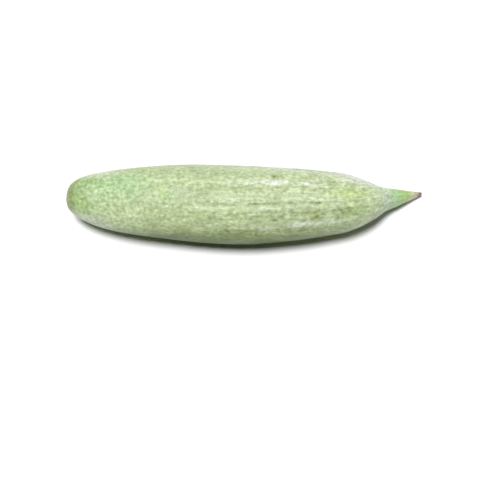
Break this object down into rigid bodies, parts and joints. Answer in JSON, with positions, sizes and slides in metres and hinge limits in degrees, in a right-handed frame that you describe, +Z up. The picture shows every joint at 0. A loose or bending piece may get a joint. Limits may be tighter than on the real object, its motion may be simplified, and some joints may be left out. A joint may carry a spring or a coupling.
{
  "type": "snake gourd",
  "caption": "Short, pale green snake gourd lying on its side: blunt blossom end with a small dry scar, long body, drawn-out neck and a cut stem stub.",
  "frame": {"origin": "on the surface the gourd rests on, under the middle of its bounding box", "axes": "+X from the blossom end to the cut stem, +Z up, +Y to the back as the picture shows it"},
  "size_m": [0.232, 0.051, 0.0495],
  "materials": {
    "skin": "satin, waxy"
  },
  "bodies": {
    "root": {"snake_gourd": "skin"}
  },
  "joints": []
}
